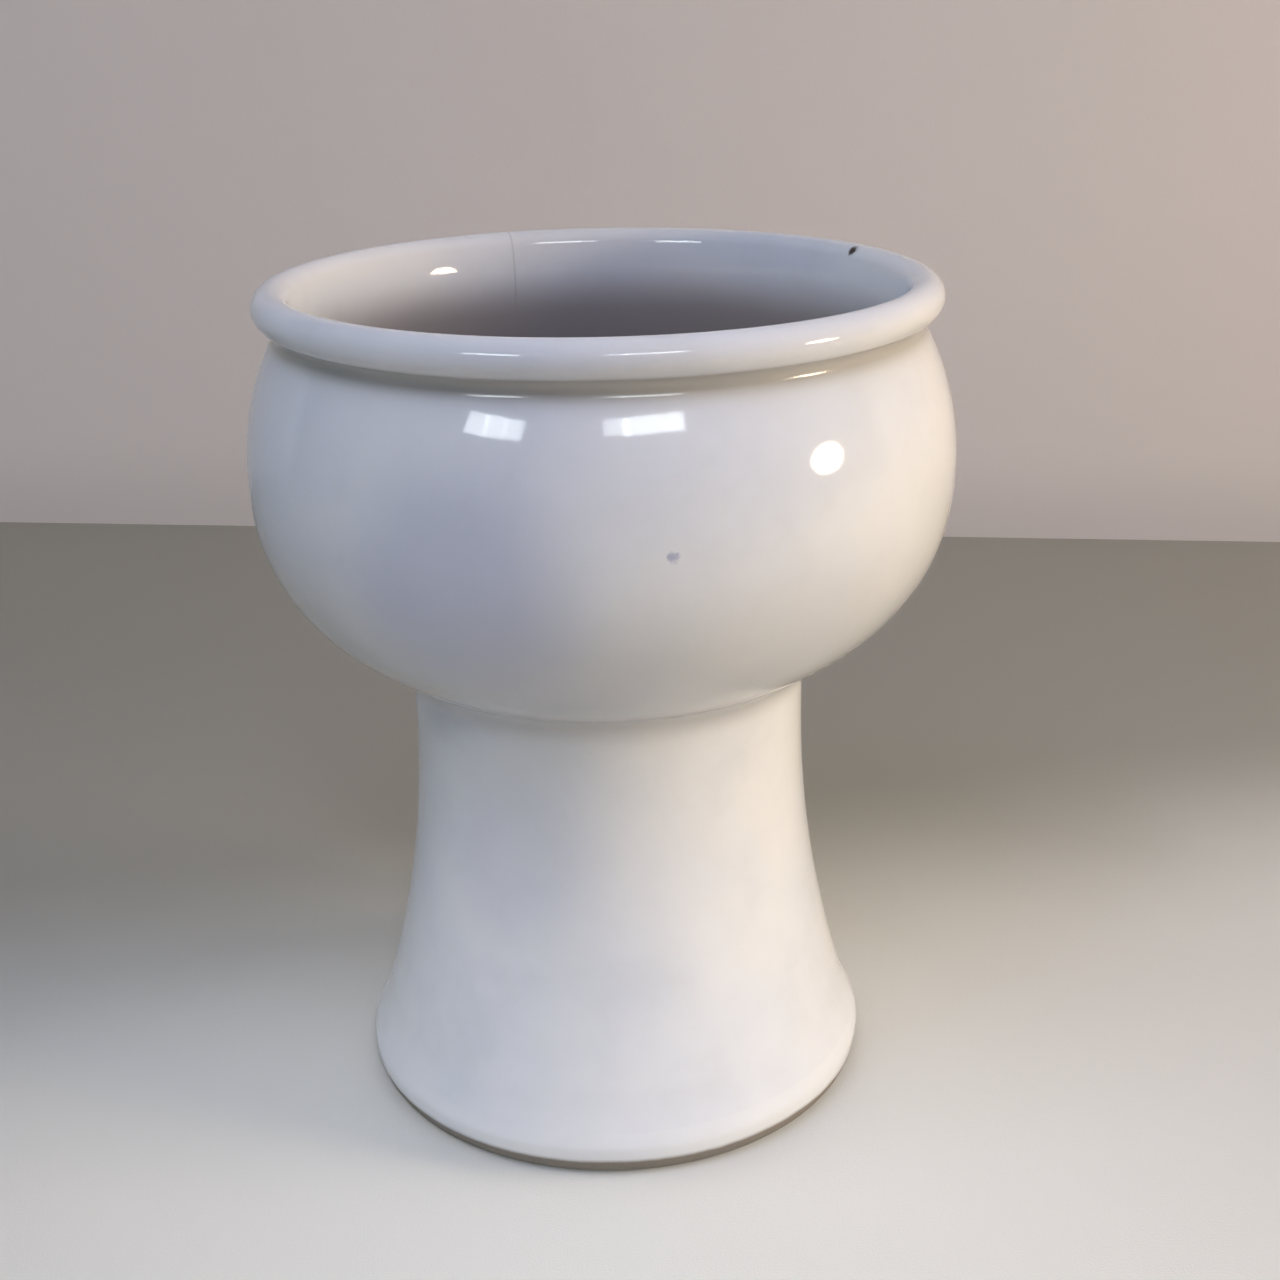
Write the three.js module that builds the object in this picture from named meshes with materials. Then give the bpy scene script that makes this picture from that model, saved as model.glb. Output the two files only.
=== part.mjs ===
// A footed bowl of glazed ceramic: a squat round bowl with a rolled rim, luted onto a hollow pedestal
// that flares to a rounded foot. Every piece is a surface of revolution about the Z axis.
// Millimetres, +Z up. The origin is on the table, at the centre of the foot.

import * as THREE from 'three';

// ---- Driving dimensions ----

// Bowl: the belly is half an oval above its widest circle and a fuller half oval below it.
const BELLY_RADIUS = 65.2;
const BELLY_HEIGHT = 126;        // of the widest circle above the table
const BELLY_RISE = 56;           // from the widest circle to where the upper oval would close
const BELLY_DROP = 46.5;         // from the widest circle to the underside at the axis
const BELLY_FULLNESS = 2.4;      // 2 is an ellipse, more is squarer
const NECK_RISE = 23.5;          // from the widest circle to the crease under the rim
const LINING_RISE = 57;          // from the widest circle to where the inner oval would close
const BOWL_WALL = 3.2;
const BOWL_FLOOR = 5;

// Rim: the wall rolled outwards into a bead above the crease.
const RIM_BEAD_RADIUS = 3.3;
const RIM_BEAD_RISE = 6;         // of the bead's centre above the crease
const RIM_OVERHANG = 2.9;        // how far the bead stands out past the crease

// Pedestal: a hollow stem, nearly straight at its waist, which flares to the foot.
const WAIST_RADIUS = 37.8;
const WAIST_DROP = 50;           // of the waist below the bowl's widest circle
const FLARE_RADIUS = 48.6;       // where the stem meets the foot
const PEDESTAL_WALL = 4.2;

// Foot: a rounded edge with a bare, flat standing ring under it.
const FOOT_HEIGHT = 9.5;
const FOOT_BULGE = 1.6;          // how far the foot stands out past the stem
const FOOT_EDGE_HEIGHT = 5;      // of the foot's widest circle above the table
const FOOT_EDGE_DEPTH = 3.6;     // from the widest circle in to the standing ring
const STANDING_RING_WIDTH = 4;
const STANDING_RING_CHAMFER = 1.2;

// Collar: the fillet of slip that seals the joint between the bowl and the pedestal.
const COLLAR_REACH = 2.6;

// Glaze coats, and the clearance between any two neighbouring pieces.
const GLAZE = 0.6;
const GAP = 0.3;

// Facets.
const SIDES = 48;
const BELLY_STEP = THREE.MathUtils.degToRad(11.25);
const NECK_RINGS = 3;
const STEM_RINGS = 6;
const BEAD_RINGS = 10;
const FOOT_EDGE_RINGS = 4;

// ---- Derived sizes ----

const COAT = GLAZE + GAP;
const NECK_HEIGHT = BELLY_HEIGHT + NECK_RISE;
const WAIST_HEIGHT = BELLY_HEIGHT - WAIST_DROP;
const CLAY_INNER_INSET = COAT + BOWL_WALL;
const LINING_BACK_INSET = CLAY_INNER_INSET + GAP;
const LINING_FACE_INSET = CLAY_INNER_INSET + COAT;
const PEDESTAL_INNER_INSET = COAT + PEDESTAL_WALL;
const CLAY_FLOOR_HEIGHT = BELLY_HEIGHT - BELLY_DROP + COAT + BOWL_FLOOR;
const COLLAR_SEAT_INSET = COAT - GAP;

// ---- Materials ----

const glazeMaterial = new THREE.MeshStandardMaterial({ color: 0xe9e6e0, roughness: 0.12, metalness: 0 });
const clayMaterial = new THREE.MeshStandardMaterial({ color: 0xd8cbb4, roughness: 0.85, metalness: 0 });

// ---- Curves: every function takes an inset, the depth below the finished surface ----

function point(radius, height) {
  return new THREE.Vector2(radius, height);
}

function outerRise(inset) {
  return BELLY_RISE - inset;
}

// The inside stands straighter at the neck than the outside does.
function innerRise(inset) {
  return LINING_RISE + LINING_FACE_INSET - inset;
}

function bellyRadius(height, inset, rise = outerRise) {
  const above = height - BELLY_HEIGHT;
  const share = above > 0
    ? (above / rise(inset)) ** 2
    : (-above / (BELLY_DROP - inset)) ** BELLY_FULLNESS;
  return (BELLY_RADIUS - inset) * Math.sqrt(Math.max(0, 1 - share));
}

// The angle runs from 0 at the widest circle to a right angle at the axis.
function lowerBellyPoint(angle, inset) {
  const drop = (BELLY_DROP - inset) * Math.sin(angle) ** (2 / BELLY_FULLNESS);
  return point((BELLY_RADIUS - inset) * Math.cos(angle), BELLY_HEIGHT - drop);
}

function lowerBellyAngleAtHeight(height, inset) {
  return Math.asin(((BELLY_HEIGHT - height) / (BELLY_DROP - inset)) ** (BELLY_FULLNESS / 2));
}

function lowerBellyAngleAtRadius(radius, inset) {
  return Math.acos(radius / (BELLY_RADIUS - inset));
}

function sweep(from, to, count, pointAt) {
  return Array.from({ length: count + 1 }, (_, i) => pointAt(from + (to - from) * i / count));
}

// Points from the crease under the rim, down the belly, to the given angle on its lower half. Nested
// outlines turn at the same heights and angles, so that their facets stay parallel.
function bellyOutline(inset, lastAngle, rise = outerRise) {
  const upper = sweep(NECK_HEIGHT, BELLY_HEIGHT, NECK_RINGS, (height) => (
    point(bellyRadius(height, inset, rise), height)));
  const smallestStep = 0.01;
  const wholeSteps = Math.ceil(lastAngle / BELLY_STEP - smallestStep) - 1;
  const lower = sweep(BELLY_STEP, wholeSteps * BELLY_STEP, wholeSteps - 1, (angle) => (
    lowerBellyPoint(angle, inset)));
  return [...upper, ...lower, lowerBellyPoint(lastAngle, inset)];
}

function stemRadius(height, inset) {
  const flare = Math.max(0, (WAIST_HEIGHT - height) / (WAIST_HEIGHT - FOOT_HEIGHT));
  return WAIST_RADIUS + (FLARE_RADIUS - WAIST_RADIUS) * flare ** 2 - inset;
}

function stemOutline(inset, fromHeight, toHeight) {
  return sweep(fromHeight, toHeight, STEM_RINGS, (height) => point(stemRadius(height, inset), height));
}

// Where the stem, sunk by one inset, meets the underside of the belly, sunk by another.
function meetingHeight(stemInset, bellyInset) {
  let low = BELLY_HEIGHT - BELLY_DROP + bellyInset;
  let high = BELLY_HEIGHT;
  for (let i = 0; i < 40; i += 1) {
    const middle = (low + high) / 2;
    if (bellyRadius(middle, bellyInset) < stemRadius(middle, stemInset)) low = middle;
    else high = middle;
  }
  return low;
}

const JOINT_HEIGHT = meetingHeight(0, 0);
const JOINT_RADIUS = stemRadius(JOINT_HEIGHT, 0);
const COLLAR_TOP_RADIUS = JOINT_RADIUS + COLLAR_REACH;
const COLLAR_BOTTOM_HEIGHT = JOINT_HEIGHT - COLLAR_REACH;

// ---- Pieces ----

function turned(name, outline, material) {
  const loop = THREE.ShapeUtils.area(outline) > 0 ? outline : [...outline].reverse();
  const onAxis = loop.some((p) => p.x === 0);
  const profile = onAxis ? startingOnAxis(loop) : [...loop, loop[0].clone()];
  const geometry = new THREE.LatheGeometry(profile, SIDES);
  geometry.rotateX(Math.PI / 2);
  const mesh = new THREE.Mesh(geometry, material);
  mesh.name = name;
  return mesh;
}

// A piece that crosses the axis has its two axis points next to each other in the loop.
function startingOnAxis(loop) {
  const next = (i) => (i + 1) % loop.length;
  const first = loop.findIndex((p, i) => p.x === 0 && loop[next(i)].x !== 0);
  return [...loop.slice(first), ...loop.slice(0, first)];
}

// Inside faces follow the belly down to a flat floor.
function innerOutline(inset, floorHeight) {
  const wall = bellyOutline(inset, lowerBellyAngleAtHeight(floorHeight, inset), innerRise);
  return [...wall, point(0, floorHeight)];
}

function bowlBody() {
  const outside = bellyOutline(COAT, Math.PI / 2);
  outside.at(-1).x = 0;
  const inside = innerOutline(CLAY_INNER_INSET, CLAY_FLOOR_HEIGHT).reverse();
  return turned('bowl_body', [...outside, ...inside], clayMaterial);
}

function liningGlaze() {
  const back = innerOutline(LINING_BACK_INSET, CLAY_FLOOR_HEIGHT + GAP);
  const face = innerOutline(LINING_FACE_INSET, CLAY_FLOOR_HEIGHT + COAT).reverse();
  return turned('lining_glaze', [...back, ...face], glazeMaterial);
}

function bowlGlaze() {
  const endRadius = COLLAR_TOP_RADIUS + GAP;
  const face = bellyOutline(0, lowerBellyAngleAtRadius(endRadius, 0));
  const back = bellyOutline(GLAZE, lowerBellyAngleAtRadius(endRadius, GLAZE)).reverse();
  return turned('bowl_glaze', [...face, ...back], glazeMaterial);
}

function rimRoll() {
  const foot = NECK_HEIGHT + GAP;
  const neckRadius = bellyRadius(NECK_HEIGHT, 0);
  const mouthRadius = bellyRadius(NECK_HEIGHT, LINING_FACE_INSET, innerRise);
  const centre = point(neckRadius + RIM_OVERHANG - RIM_BEAD_RADIUS, NECK_HEIGHT + RIM_BEAD_RISE);
  const onBead = (angle) => point(
    centre.x + RIM_BEAD_RADIUS * Math.cos(angle),
    centre.y + RIM_BEAD_RADIUS * Math.sin(angle));
  const bead = sweep(-Math.PI / 4, Math.PI, BEAD_RINGS, onBead);
  const crease = new THREE.QuadraticBezierCurve(
    point(neckRadius, foot), point(neckRadius + RIM_OVERHANG / 4, foot + RIM_BEAD_RISE / 3), bead[0]);
  const lip = bead.at(-1);
  const throat = new THREE.QuadraticBezierCurve(
    lip, point(lip.x, (lip.y + foot) / 2), point(mouthRadius, foot));
  const outline = [...crease.getPoints(3), ...bead.slice(1), ...throat.getPoints(3).slice(1)];
  return turned('rim_roll', outline, glazeMaterial);
}

function jointCollar() {
  const top = lowerBellyPoint(lowerBellyAngleAtRadius(COLLAR_TOP_RADIUS, 0), 0);
  const bottom = point(stemRadius(COLLAR_BOTTOM_HEIGHT, 0), COLLAR_BOTTOM_HEIGHT);
  const fillet = new THREE.QuadraticBezierCurve(top, point(JOINT_RADIUS, JOINT_HEIGHT), bottom);
  const cornerHeight = meetingHeight(COLLAR_SEAT_INSET, COLLAR_SEAT_INSET);
  const seat = [
    point(stemRadius(COLLAR_BOTTOM_HEIGHT, COLLAR_SEAT_INSET), COLLAR_BOTTOM_HEIGHT),
    point(stemRadius(cornerHeight, COLLAR_SEAT_INSET), cornerHeight),
    lowerBellyPoint(lowerBellyAngleAtRadius(COLLAR_TOP_RADIUS, COLLAR_SEAT_INSET), COLLAR_SEAT_INSET),
  ];
  return turned('joint_collar', [...fillet.getPoints(4), ...seat], glazeMaterial);
}

function pedestalBody() {
  const foot = FOOT_HEIGHT + GAP;
  const outerTop = meetingHeight(COAT, COLLAR_SEAT_INSET);
  const innerTop = meetingHeight(PEDESTAL_INNER_INSET, COLLAR_SEAT_INSET);
  const outside = stemOutline(COAT, foot, outerTop);
  const inside = stemOutline(PEDESTAL_INNER_INSET, innerTop, foot);
  return turned('pedestal_body', [...outside, ...inside], clayMaterial);
}

function pedestalGlaze() {
  const foot = FOOT_HEIGHT + GAP;
  const top = COLLAR_BOTTOM_HEIGHT - GAP;
  const outline = [...stemOutline(0, foot, top), ...stemOutline(GLAZE, top, foot)];
  return turned('pedestal_glaze', outline, glazeMaterial);
}

function footRing() {
  const widest = FLARE_RADIUS + FOOT_BULGE;
  const ringOuter = widest - FOOT_EDGE_DEPTH;
  const ringInner = ringOuter - STANDING_RING_WIDTH;
  const shoulder = new THREE.QuadraticBezierCurve(
    point(FLARE_RADIUS, FOOT_HEIGHT),
    point(widest, (FOOT_HEIGHT + 2 * FOOT_EDGE_HEIGHT) / 3 + FOOT_BULGE),
    point(widest, FOOT_EDGE_HEIGHT));
  const edge = sweep(0, -Math.PI / 2, FOOT_EDGE_RINGS, (angle) => point(
    ringOuter + FOOT_EDGE_DEPTH * Math.cos(angle),
    FOOT_EDGE_HEIGHT + FOOT_EDGE_HEIGHT * Math.sin(angle)));
  const inside = [
    point(ringInner, 0),
    point(ringInner - STANDING_RING_CHAMFER, STANDING_RING_CHAMFER),
    point(stemRadius(FOOT_HEIGHT, PEDESTAL_INNER_INSET), FOOT_HEIGHT),
  ];
  return turned('foot_ring', [...shoulder.getPoints(3), ...edge.slice(1), ...inside], glazeMaterial);
}

const vase = new THREE.Group();
vase.add(
  bowlBody(), liningGlaze(), bowlGlaze(), rimRoll(),
  jointCollar(), pedestalBody(), pedestalGlaze(), footRing());

export default vase;
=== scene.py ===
"""A footed bowl of white glazed ceramic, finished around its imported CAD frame, in metres."""

import math

import bpy
import numpy as np
from bpy.props import FloatProperty, FloatVectorProperty, PointerProperty
from mathutils import Matrix, Vector


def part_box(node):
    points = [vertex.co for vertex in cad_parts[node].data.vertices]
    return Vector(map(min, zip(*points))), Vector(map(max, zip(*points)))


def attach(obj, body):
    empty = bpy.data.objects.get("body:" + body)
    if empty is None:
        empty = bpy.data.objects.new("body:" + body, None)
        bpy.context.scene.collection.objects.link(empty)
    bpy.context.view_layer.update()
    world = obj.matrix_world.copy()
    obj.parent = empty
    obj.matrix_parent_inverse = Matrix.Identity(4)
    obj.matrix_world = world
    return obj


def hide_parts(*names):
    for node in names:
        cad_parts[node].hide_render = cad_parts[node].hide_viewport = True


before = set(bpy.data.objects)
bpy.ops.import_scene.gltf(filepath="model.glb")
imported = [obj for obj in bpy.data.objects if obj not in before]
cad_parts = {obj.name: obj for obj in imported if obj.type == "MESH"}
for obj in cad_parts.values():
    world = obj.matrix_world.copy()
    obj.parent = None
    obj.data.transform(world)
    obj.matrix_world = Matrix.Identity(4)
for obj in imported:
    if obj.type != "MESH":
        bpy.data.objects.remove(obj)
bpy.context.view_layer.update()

bl_info = {
    "name": "Footed Ceramic Vase",
    "version": (1, 0, 0),
    "blender": (4, 5, 0),
    "location": "3D View > Sidebar > Vase",
    "description": "Builds a glazed footed vase, its bare clay and a small studio",
    "category": "Add Mesh",
}

MM = 0.001
BODY = "root"


# ---- What the frame says ----

def rings_of(node):
    """The radius and height of every vertex of a CAD node."""
    places = np.array([vertex.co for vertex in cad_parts[node].data.vertices])
    return np.hypot(places[:, 0], places[:, 1]), places[:, 2]


def widest_height(node):
    """The height of a CAD node's widest circle."""
    radius, height = rings_of(node)
    return float(height[radius.argmax()])


def top_radius(node):
    """The outer radius of a CAD node's top edge."""
    radius, height = rings_of(node)
    return float(radius[height > height.max() - 0.1 * MM].max())


_, BOWL_GLAZE_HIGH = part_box("bowl_glaze")
BOWL_CLAY_LOW, BOWL_CLAY_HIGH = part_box("bowl_body")
LINING_LOW, LINING_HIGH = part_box("lining_glaze")
_, RIM_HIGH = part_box("rim_roll")
_, FOOT_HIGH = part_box("foot_ring")

# From the glazed surface to the clay under it, with the gap between the two solids.
COAT = BOWL_GLAZE_HIGH.x - BOWL_CLAY_HIGH.x


# ---- Settings a user would change ----

class VaseSizes(bpy.types.PropertyGroup):
    """The vase's sizes."""

    belly_radius: FloatProperty(
        name="Belly radius", description="Radius of the bowl's widest circle",
        default=BOWL_GLAZE_HIGH.x, unit="LENGTH")
    belly_height: FloatProperty(
        name="Belly height", description="Height of the bowl's widest circle above the table",
        default=widest_height("bowl_glaze"), unit="LENGTH")
    belly_rise: FloatProperty(
        name="Upper oval",
        description="Height from the widest circle to where the upper oval would close",
        default=56 * MM, unit="LENGTH")
    belly_fullness: FloatProperty(
        name="Belly fullness", description="2 gives an elliptical underside, more a squarer one",
        default=2.4, min=1.5, max=4)
    lining_rise: FloatProperty(
        name="Inner oval",
        description="Height from the widest circle to where the inner oval would close",
        default=57 * MM, unit="LENGTH")
    neck_height: FloatProperty(
        name="Neck height", description="Height of the crease under the rim",
        default=BOWL_GLAZE_HIGH.z, unit="LENGTH")
    rim_height: FloatProperty(
        name="Rim height", description="Height of the top of the rim",
        default=RIM_HIGH.z, unit="LENGTH")
    rim_radius: FloatProperty(
        name="Rim radius", description="Radius of the rim's widest circle",
        default=RIM_HIGH.x, unit="LENGTH")
    rim_bead: FloatProperty(
        name="Rim bead", description="Radius of the rolled bead", default=3.3 * MM, unit="LENGTH")
    waist_radius: FloatProperty(
        name="Waist radius", description="Radius of the pedestal at its narrowest",
        default=top_radius("pedestal_glaze"), unit="LENGTH")
    waist_height: FloatProperty(
        name="Waist height", description="Height at which the pedestal starts to flare",
        default=76 * MM, unit="LENGTH")
    flare_radius: FloatProperty(
        name="Flare radius", description="Radius of the pedestal where it meets the foot",
        default=top_radius("foot_ring"), unit="LENGTH")
    foot_radius: FloatProperty(
        name="Foot radius", description="Radius of the foot's widest circle",
        default=FOOT_HIGH.x, unit="LENGTH")
    foot_height: FloatProperty(
        name="Foot height", description="Height of the foot", default=FOOT_HIGH.z, unit="LENGTH")
    foot_edge: FloatProperty(
        name="Foot edge", description="Height of the foot's widest circle above the table",
        default=6.4 * MM, unit="LENGTH")
    standing_ring: FloatProperty(
        name="Standing ring", description="Outer radius of the flat ring that the foot stands on",
        default=FOOT_HIGH.x - 3.6 * MM, unit="LENGTH")
    collar_reach: FloatProperty(
        name="Collar reach", description="How far the fillet of slip spreads from the joint",
        default=5.2 * MM, unit="LENGTH")
    wall: FloatProperty(
        name="Bowl wall", description="Thickness of the bowl's wall with its glaze",
        default=BOWL_GLAZE_HIGH.x - LINING_HIGH.x + COAT / 3 * 2, unit="LENGTH")
    unevenness: FloatProperty(
        name="Unevenness", description="How far the surface strays from a true circle",
        default=0.25 * MM, unit="LENGTH")


class VaseFinish(bpy.types.PropertyGroup):
    """The vase's colours."""

    glaze_colour: FloatVectorProperty(
        name="Glaze", description="Glaze where it is of usual thickness",
        subtype="COLOR", default=(0.735, 0.73, 0.715))
    # The pooled colour also serves for painted shade in hollows and on the bowl's underside.
    pooled_and_shade_colour: FloatVectorProperty(
        name="Pooled glaze", description="Glaze where it has run into a hollow",
        subtype="COLOR", default=(0.40, 0.38, 0.34))
    # The stained lining colour is partly stain and partly painted shade inside the bowl.
    stain_and_shade_colour: FloatVectorProperty(
        name="Stained lining", description="Glaze inside the bowl, grey from water and soil",
        subtype="COLOR", default=(0.41, 0.38, 0.37))
    clay_colour: FloatVectorProperty(
        name="Clay", description="Bare fired clay",
        subtype="COLOR", default=(0.50, 0.44, 0.36))
    glaze_roughness: FloatProperty(
        name="Glaze roughness", description="Roughness of clean glaze",
        subtype="FACTOR", default=0.065, min=0, max=1)


class VaseStudio(bpy.types.PropertyGroup):
    """The studio's sizes and colours."""

    backdrop_distance: FloatProperty(
        name="Backdrop distance", description="From the vase's axis back to the backdrop",
        default=0.355, unit="LENGTH")
    backdrop_turn: FloatProperty(
        name="Backdrop turn",
        description="How far the backdrop is turned, its left end further away",
        default=math.radians(7.35), subtype="ANGLE")
    floor_colour: FloatVectorProperty(
        name="Floor", description="Cloth that the vase stands on",
        subtype="COLOR", default=(0.72, 0.715, 0.66))
    # The far floor colour is a painted shadow on the cloth towards the backdrop.
    floor_shadow_colour: FloatVectorProperty(
        name="Far floor", description="The cloth towards the backdrop",
        subtype="COLOR", default=(0.36, 0.35, 0.31))
    backdrop_colour: FloatVectorProperty(
        name="Backdrop", description="Cloth behind the vase",
        subtype="COLOR", default=(0.66, 0.585, 0.53))
    camera_distance: FloatProperty(
        name="Camera distance", description="From the vase's axis forward to the camera",
        default=0.327, unit="LENGTH")
    camera_height: FloatProperty(
        name="Camera height", description="Height of the camera above the table",
        default=0.2116, unit="LENGTH")
    camera_tilt: FloatProperty(
        name="Camera tilt", description="How far the camera looks down",
        subtype="ANGLE", default=math.radians(20.71))
    camera_turn: FloatProperty(
        name="Camera turn", description="How far the camera looks to the right of the vase's axis",
        subtype="ANGLE", default=math.radians(1.11))
    camera_roll: FloatProperty(
        name="Camera roll", description="How far the camera leans",
        subtype="ANGLE", default=math.radians(-0.97))
    focal_length: FloatProperty(
        name="Focal length", description="Focal length of the camera's lens, for its 36 mm sensor",
        unit="CAMERA", default=50.6)


# ---- Curves: radius and height, in metres ----

def bezier(*controls, count=40):
    """A quadratic or cubic curve from its control points."""
    share = np.linspace(0, 1, count)[:, None]
    degree = len(controls) - 1
    return sum(
        math.comb(degree, i) * (1 - share) ** (degree - i) * share ** i * np.array(control)
        for i, control in enumerate(controls))


def lengths(points):
    """How far along the curve each point lies."""
    return np.concatenate([[0], np.cumsum(np.hypot(*np.diff(points, axis=0).T))])


def respaced(points, spacing):
    """The same curve with points about the given distance apart."""
    along = lengths(points)
    count = max(2, int(round(along[-1] / spacing)) + 1)
    even = np.linspace(0, along[-1], count)
    return np.stack([np.interp(even, along, column) for column in points.T], 1)


def sunk(points, depth):
    """The curve moved into the wall, which lies to its left."""
    ahead = np.gradient(points, axis=0)
    ahead /= np.hypot(ahead[:, 0], ahead[:, 1])[:, None]
    return points + depth * np.stack([-ahead[:, 1], ahead[:, 0]], 1)


def bends(points, spread):
    """How hollow and how proud the outline is at each point, from 0 to 1, each spread along it."""
    full_turn = 0.9  # radians
    along = lengths(points)
    ahead = np.gradient(points, axis=0)
    turn = np.gradient(np.unwrap(np.arctan2(ahead[:, 1], ahead[:, 0])))
    near = np.exp(-((along[:, None] - along[None]) / spread) ** 2)
    return [np.clip(near @ np.maximum(way * turn, 0) / full_turn, 0, 1) for way in (-1, 1)]


class VaseOutline:
    """The finished surface's outline from the standing ring, up the outside, over the rim and down
    to the middle of the bowl's floor, in named stretches."""

    FINE = 0.35 * MM  # between points of the foot, the collar and the rim
    COARSE = 1.0 * MM  # between points of the other stretches
    BEND_SPREAD = 1.6 * MM  # how far a bend's pooled or thin glaze spreads
    BEAD_TURN = math.radians(-68)  # where the bead starts, from its outermost point
    MOUTH_TURN = math.radians(163)  # where the bead ends
    FLARE_START = 17 * MM  # the height at which the stem's flare turns into the foot
    FLOOR_EDGE_RISE = 1.5 * MM  # where the bowl's wall bends into its floor
    FLOOR_BEND = (2.5 * MM, 7 * MM)  # from the wall in to the bend's corner and to its end

    # How far each bend keeps the direction that it starts or ends with.
    FLARE_REACH = 5.5 * MM
    FOOT_REACH = 2.2 * MM
    CREASE_REACH = 1.3 * MM
    THROAT_REACH = 14.3 * MM
    INNER_BELLY_REACH = 8 * MM

    def __init__(self, sizes):
        self.sizes = sizes
        self.belly_drop = sizes.belly_height - BOWL_CLAY_LOW.z + COAT
        self.joint_height = self.meeting_height()
        side, inner = self.side(), self.inner_wall()
        in_foot, in_stem = side[:, 1] <= sizes.foot_height, side[:, 1] >= sizes.foot_height
        in_rim, in_lining = inner[:, 1] >= sizes.neck_height, inner[:, 1] <= sizes.neck_height
        stretches = {
            "foot": respaced(np.concatenate([self.foot_edge(), side[in_foot]]), self.FINE),
            "stem": respaced(side[in_stem], self.COARSE),
            "collar": respaced(self.collar(), self.FINE),
            "belly": respaced(self.belly(), self.COARSE),
            "rim": respaced(np.concatenate([self.rim(), inner[in_rim]]), self.FINE),
            "lining": respaced(inner[in_lining], self.COARSE),
        }
        self.points = np.zeros((0, 2))
        self.spans = {}
        for name, points in stretches.items():
            first = max(0, len(self.points) - 1)
            self.points = np.concatenate([self.points[:first], points])
            self.spans[name] = (first, len(self.points))
        self.hollow, self.proud = bends(self.points, self.BEND_SPREAD)

    def stretch(self, name):
        first, end = self.spans[name]
        return self.points[first:end]

    def marks(self, name):
        """How hollow and how proud a stretch is along its length."""
        first, end = self.spans[name]
        return self.hollow[first:end], self.proud[first:end]

    def neighbours(self, name):
        """The points just before and just after a stretch, or None at the outline's ends."""
        first, end = self.spans[name]
        before = self.points[first - 1] if first else None
        after = self.points[end] if end < len(self.points) else None
        return before, after

    def belly_radius(self, height, inset=0.0):
        """The bowl's outer radius at a height, or that of a surface inset from it."""
        above = height - self.sizes.belly_height
        if above > 0:
            share = (above / (self.sizes.belly_rise - inset)) ** 2
        else:
            share = (-above / (self.belly_drop - inset)) ** self.sizes.belly_fullness
        return (self.sizes.belly_radius - inset) * math.sqrt(max(0, 1 - share))

    def inner_radius(self, height, inset):
        """The same for the clay's inside, above the widest circle."""
        rise = self.sizes.lining_rise + self.sizes.wall - inset
        above = (height - self.sizes.belly_height) / rise
        return (self.sizes.belly_radius - inset) * math.sqrt(1 - above ** 2)

    def lower_belly_angle(self, height, inset=0.0):
        """The angle at which lower_belly comes to a height."""
        share = (self.sizes.belly_height - height) / (self.belly_drop - inset)
        return math.asin(min(1, share ** (self.sizes.belly_fullness / 2)))

    def lower_belly(self, from_angle, to_angle, inset=0.0, count=160):
        """The bowl below its widest circle, from 0 there to a right angle at its lowest point."""
        angle = np.linspace(from_angle, to_angle, count)
        drop = (self.belly_drop - inset) * np.sin(angle) ** (2 / self.sizes.belly_fullness)
        radius = (self.sizes.belly_radius - inset) * np.cos(angle)
        return np.stack([radius, self.sizes.belly_height - drop], 1)

    def stem_radius(self, height):
        sizes = self.sizes
        flare = (sizes.waist_height - height) / (sizes.waist_height - sizes.foot_height)
        spread = sizes.flare_radius - sizes.waist_radius
        return sizes.waist_radius + spread * max(0, flare) ** 2

    def meeting_height(self):
        """Where the stem's outside meets the underside of the belly."""
        low, high = BOWL_CLAY_LOW.z, self.sizes.belly_height
        for _ in range(40):
            middle = (low + high) / 2
            if self.belly_radius(middle) < self.stem_radius(middle):
                low = middle
            else:
                high = middle
        return low

    def foot_edge(self):
        """From the standing ring round to the foot's widest circle."""
        sizes = self.sizes
        turn = np.linspace(-math.pi / 2, 0, 40)
        depth = sizes.foot_radius - sizes.standing_ring
        return np.stack([
            sizes.standing_ring + depth * np.cos(turn),
            sizes.foot_edge * (1 + np.sin(turn))], 1)

    def side(self):
        """From the foot's widest circle up the flare to the collar."""
        sizes = self.sizes
        start = self.FLARE_START
        radius = self.stem_radius(start)
        step = 0.5 * MM
        slope = (radius - self.stem_radius(start + step)) / step
        flare = bezier(
            (sizes.foot_radius, sizes.foot_edge),
            (sizes.foot_radius, sizes.foot_edge + self.FOOT_REACH),
            (radius + slope * self.FLARE_REACH, start - self.FLARE_REACH),
            (radius, start), count=120)
        heights = np.linspace(start, self.joint_height - sizes.collar_reach, 120)[1:]
        return np.concatenate([flare, [(self.stem_radius(height), height) for height in heights]])

    def collar_angle(self):
        """Where the collar ends on the underside of the belly, as an angle of lower_belly."""
        radius = self.stem_radius(self.joint_height) + self.sizes.collar_reach
        return math.acos(radius / self.sizes.belly_radius)

    def collar(self):
        """The fillet between the stem and the belly."""
        low = self.joint_height - self.sizes.collar_reach
        angle = self.collar_angle()
        top = self.lower_belly(angle, angle, count=1)[0]
        joint = (self.stem_radius(self.joint_height), self.joint_height)
        return bezier((self.stem_radius(low), low), joint, top)

    def belly(self):
        """The outside of the bowl from the collar up to the crease."""
        lower = self.lower_belly(self.collar_angle(), 0)
        heights = np.linspace(self.sizes.belly_height, self.sizes.neck_height, 60)[1:]
        upper = np.array([(self.belly_radius(height), height) for height in heights])
        return np.concatenate([lower, upper])

    def bead(self, turn):
        """The bead's points at the given angles, and the way on from each."""
        sizes = self.sizes
        centre = np.array([sizes.rim_radius - sizes.rim_bead, sizes.rim_height - sizes.rim_bead])
        outwards = np.stack([np.cos(turn), np.sin(turn)], -1)
        onwards = np.stack([-np.sin(turn), np.cos(turn)], -1)
        return centre + sizes.rim_bead * outwards, onwards

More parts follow.
